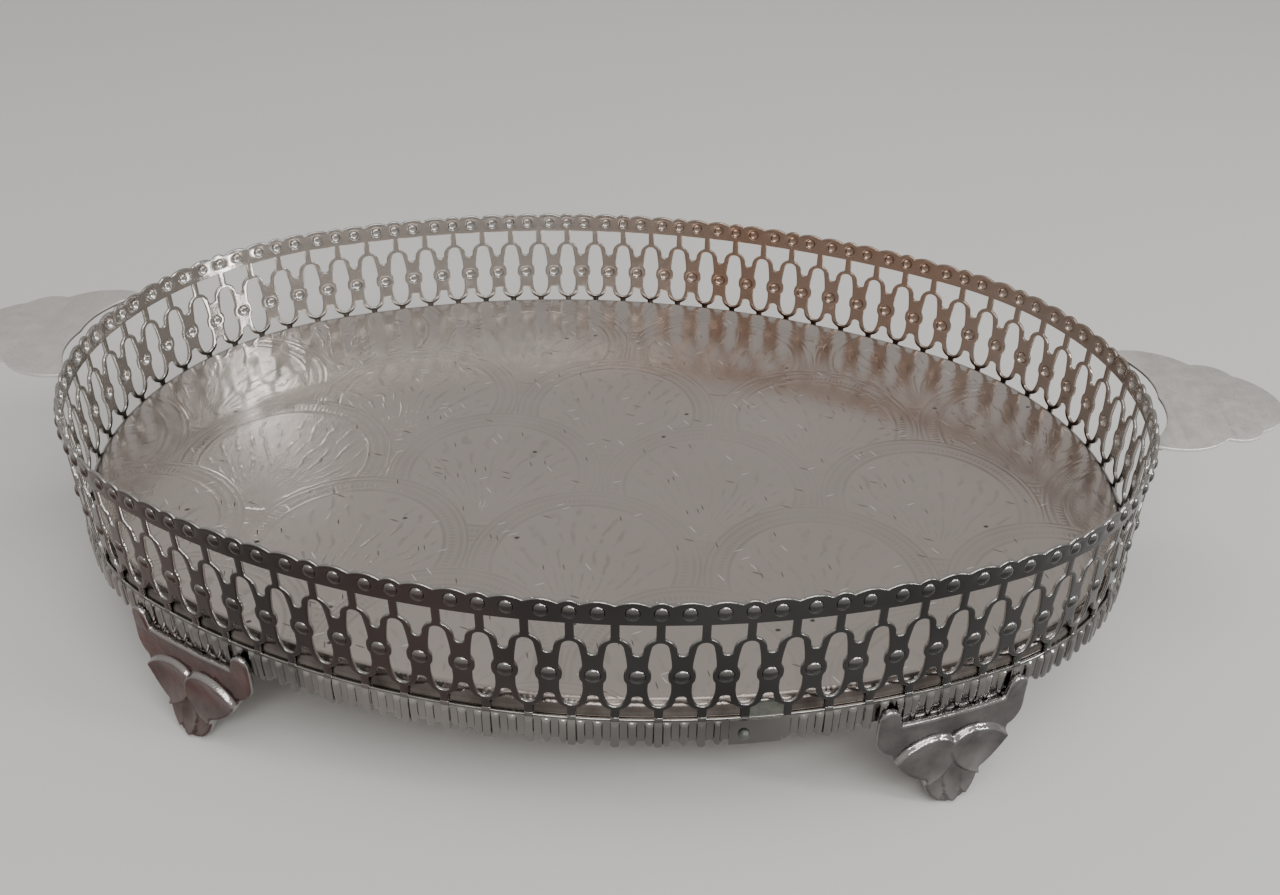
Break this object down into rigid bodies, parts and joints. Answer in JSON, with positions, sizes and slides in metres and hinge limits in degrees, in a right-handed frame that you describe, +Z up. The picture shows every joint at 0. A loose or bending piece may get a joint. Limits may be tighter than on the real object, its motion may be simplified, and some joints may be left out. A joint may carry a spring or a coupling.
{
  "type": "oval gallery tray",
  "caption": "Oval serving tray with a flat floor, a tall pierced and fluted gallery wall, scalloped flat end handles and cast lobed feet.",
  "frame": {"origin": "middle of the tray's plan, on the surface it stands on", "axes": "+Z up, X along the tray's length through both handles, Y across it; the strip's joint is on the -Y side"},
  "size_m": [0.3452, 0.1854, 0.065],
  "materials": {
    "polished_plate": "silver plate, bright on the inside of the wall and dulled to a glossy dark grey on the outside",
    "satin_plate": "satin silver plate, embossed with a fine scale pattern and scratched by use",
    "plain_plate": "soft bright silver plate, finely speckled",
    "cast_plate": "polished cast metal, silver plated, dulled to dark grey on its outward faces",
    "solder": "dull grey soft solder with a rough skin"
  },
  "bodies": {
    "root": {"base_tray": "satin_plate", "gallery_strip": "polished_plate", "joint_plate": "polished_plate", "joint_solder": "solder", "handle_left": "plain_plate", "handle_right": "plain_plate", "handle_solder": "solder", "foot_front_left": "cast_plate", "foot_front_right": "cast_plate", "foot_rear_left": "cast_plate", "foot_rear_right": "cast_plate"}
  },
  "joints": []
}
